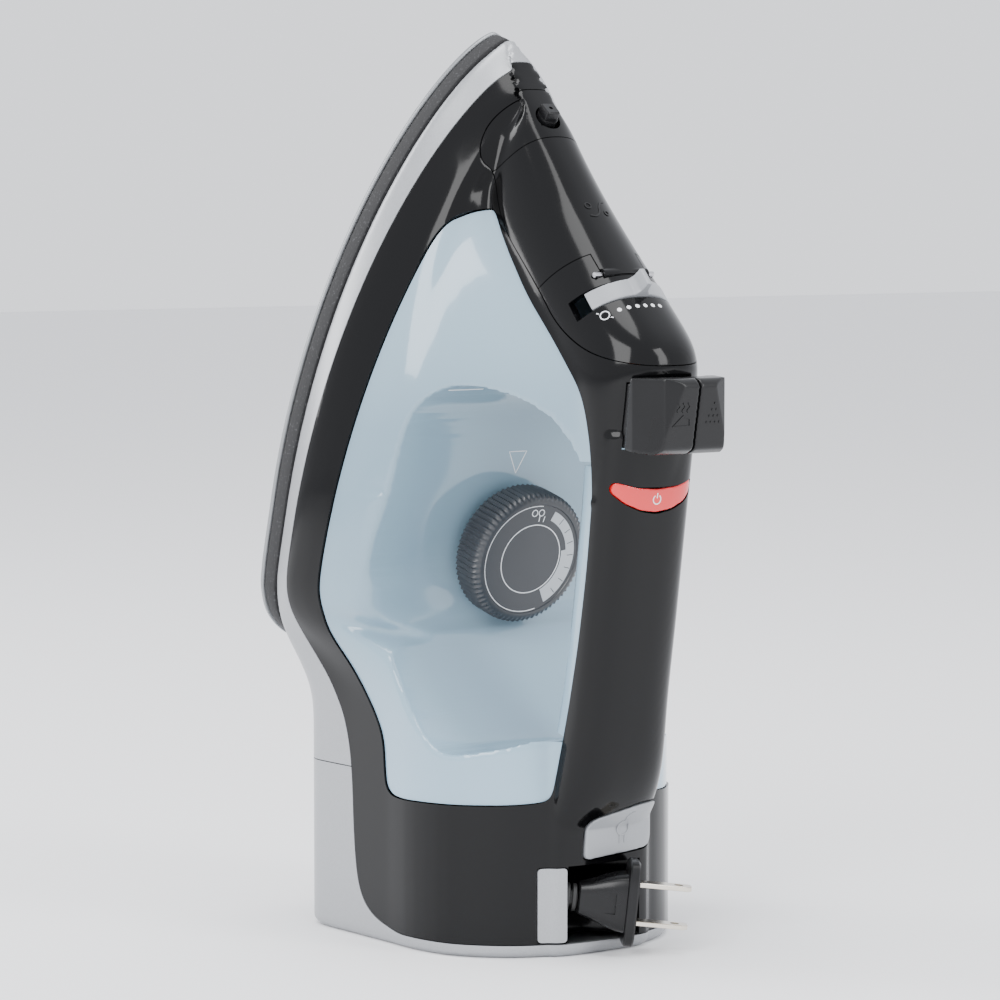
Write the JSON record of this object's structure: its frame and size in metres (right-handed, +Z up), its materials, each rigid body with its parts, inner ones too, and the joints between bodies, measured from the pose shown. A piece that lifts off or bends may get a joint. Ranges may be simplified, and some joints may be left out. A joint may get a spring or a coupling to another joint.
{
  "type": "steam iron",
  "caption": "Household steam iron standing on its heel, with translucent water tank, temperature dial and retractable cord.",
  "frame": {"origin": "centre of the overall box, on the floor plane under the heel", "axes": "+Z up, with the iron standing on its heel and its nose up; +X from the ironing face towards the handle; +Y to the left of someone facing the handle"},
  "size_m": [0.1676, 0.1284, 0.3028],
  "materials": {
    "gloss_black": "high gloss",
    "satin_black": "satin",
    "speckled_black": "matte, fine speckle",
    "silver_plastic": "satin silver paint",
    "tank_blue": "translucent, clear gloss",
    "dial_grey": "satin",
    "light_grey": "satin",
    "red_clear": "translucent gloss",
    "nickel": "polished nickel",
    "steel": "plain",
    "sole_metal": "satin",
    "rubber": "matte",
    "silicone": "matte",
    "circuit_board": "satin",
    "white_plastic": "satin",
    "cord_sheath": "satin"
  },
  "bodies": {
    "iron_body": {"soleplate": "sole_metal", "chamber_gasket": "silicone", "steam_chamber_cover": "steel", "heating_element": "steel", "heat_skirt": "speckled_black", "thermostat": "steel", "thermal_fuse": "white_plastic", "steam_tube": "silicone", "skirt_trim": "silver_plastic", "heel_cover": "silver_plastic", "main_housing": "gloss_black", "water_tank": "tank_blue", "handle_lower_shell": "tank_blue", "nozzle_cap": "gloss_black", "head_cover": "gloss_black", "fill_door_pin": "steel", "spray_nozzle": "satin_black", "steam_pump_body": "white_plastic", "spray_pump_body": "white_plastic", "steam_pump_spring": "steel", "spray_pump_spring": "steel", "spray_tube": "silicone", "power_switch": "satin_black", "control_board": "circuit_board", "reel_spindle": "steel", "reel_spring_cup": "steel", "reel_spring": "steel", "brush_block": "satin_black", "terminal_block": "white_plastic", "rewind_spring": "steel", "cord_outlet": "silver_plastic", "plug_body": "satin_black", "plug_relief": "rubber", "plug_blade_upper": "nickel", "plug_blade_lower": "nickel", "cord_lead": "cord_sheath", "heel_screw_1": "steel", "heel_screw_2": "steel", "heel_screw_3": "steel", "heel_screw_4": "steel"},
    "dial": {"temperature_dial": "dial_grey", "dial_shaft": "steel"},
    "slider": {"steam_slider": "light_grey"},
    "valve": {"steam_valve_stem": "white_plastic"},
    "shot_button": {"steam_button": "satin_black"},
    "mist_button": {"spray_button": "satin_black"},
    "shot_piston": {"steam_pump_piston": "white_plastic"},
    "mist_piston": {"spray_pump_piston": "white_plastic"},
    "power_key": {"power_button": "red_clear"},
    "rewind_key": {"rewind_button": "light_grey"},
    "brake": {"brake_shoe": "satin_black"},
    "door": {"fill_door": "gloss_black"},
    "reel": {"cord_reel": "white_plastic", "cord_winding": "cord_sheath"}
  },
  "joints": [
    {"name": "dial_turn", "type": "hinge", "parent": "iron_body", "child": "dial", "pos_m": [-0.0174, 0, 0.1298], "axis": [0.9659, 0, -0.2588], "range_deg": [0, 285]},
    {"name": "slider_turn", "type": "hinge", "parent": "iron_body", "child": "slider", "pos_m": [0.0363, 0, 0.2049], "axis": [0.6619, 0, -0.7496], "range_deg": [-12, 12]},
    {"name": "valve_lift", "type": "slide", "parent": "iron_body", "child": "valve", "axis": [0.9659, 0, -0.2588], "range_m": [-0.001, 0.001]},
    {"name": "shot_press", "type": "slide", "parent": "iron_body", "child": "shot_button", "axis": [-1, 0, 0], "range_m": [0, 0.0025], "stiffness_N_per_m": 400},
    {"name": "mist_press", "type": "slide", "parent": "iron_body", "child": "mist_button", "axis": [-1, 0, 0], "range_m": [0, 0.0025], "stiffness_N_per_m": 400},
    {"name": "shot_stroke", "type": "slide", "parent": "iron_body", "child": "shot_piston", "axis": [-1, 0, 0], "range_m": [0, 0.0025], "deforming": ["steam_pump_spring"]},
    {"name": "mist_stroke", "type": "slide", "parent": "iron_body", "child": "mist_piston", "axis": [-1, 0, 0], "range_m": [0, 0.0025], "deforming": ["spray_pump_spring"]},
    {"name": "power_press", "type": "slide", "parent": "iron_body", "child": "power_key", "axis": [-1, 0, 0], "range_m": [0, 0.0008], "stiffness_N_per_m": 1500},
    {"name": "rewind_press", "type": "slide", "parent": "iron_body", "child": "rewind_key", "axis": [-1, 0, 0], "range_m": [0, 0.0025], "stiffness_N_per_m": 600, "deforming": ["rewind_spring"]},
    {"name": "brake_lift", "type": "slide", "parent": "iron_body", "child": "brake", "axis": [0, 0, 1], "range_m": [0, 0.00125]},
    {"name": "door_swing", "type": "hinge", "parent": "iron_body", "child": "door", "pos_m": [0.04425, 0, 0.2225], "axis": [0, 1, 0], "range_deg": [0, 60]},
    {"name": "reel_spin", "type": "hinge", "parent": "iron_body", "child": "reel", "pos_m": [-0.0287, 0, 0.0225], "axis": [0, 0, 1], "continuous": true}
  ],
  "couplings": [
    {"joint": "valve_lift", "follows": "slider_turn", "m_per_rad": 0.004},
    {"joint": "shot_stroke", "follows": "shot_press", "ratio": 1},
    {"joint": "mist_stroke", "follows": "mist_press", "ratio": 1},
    {"joint": "brake_lift", "follows": "rewind_press", "ratio": 0.5}
  ]
}
